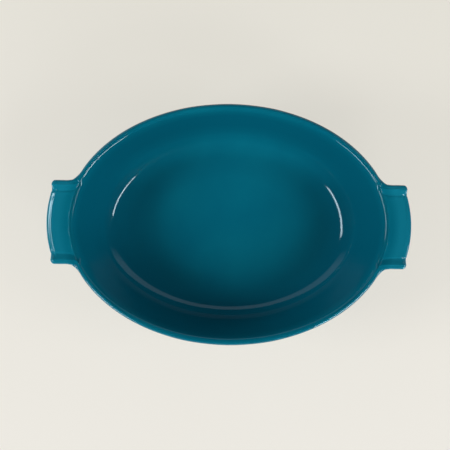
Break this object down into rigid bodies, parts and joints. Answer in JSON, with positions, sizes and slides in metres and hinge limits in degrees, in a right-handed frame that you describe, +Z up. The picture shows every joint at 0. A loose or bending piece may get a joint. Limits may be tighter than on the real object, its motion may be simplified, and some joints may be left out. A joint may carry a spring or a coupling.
{
  "type": "oval gratin dish",
  "caption": "Deep oval baking dish with sloping walls, a tab handle at each end with raised side ribs, a teal glaze all over and a bare clay foot ring.",
  "frame": {"origin": "on the table plane, under the middle of the bowl", "axes": "+Z up, +X along the dish's long axis towards the right handle, +Y across it"},
  "size_m": [0.365, 0.241, 0.068],
  "materials": {
    "teal_glaze": "gloss",
    "bare_clay": "matt, fired unglazed"
  },
  "bodies": {
    "root": {"bowl": "teal_glaze", "handle_left": "teal_glaze", "handle_right": "teal_glaze", "foot_ring": "bare_clay"}
  },
  "joints": []
}
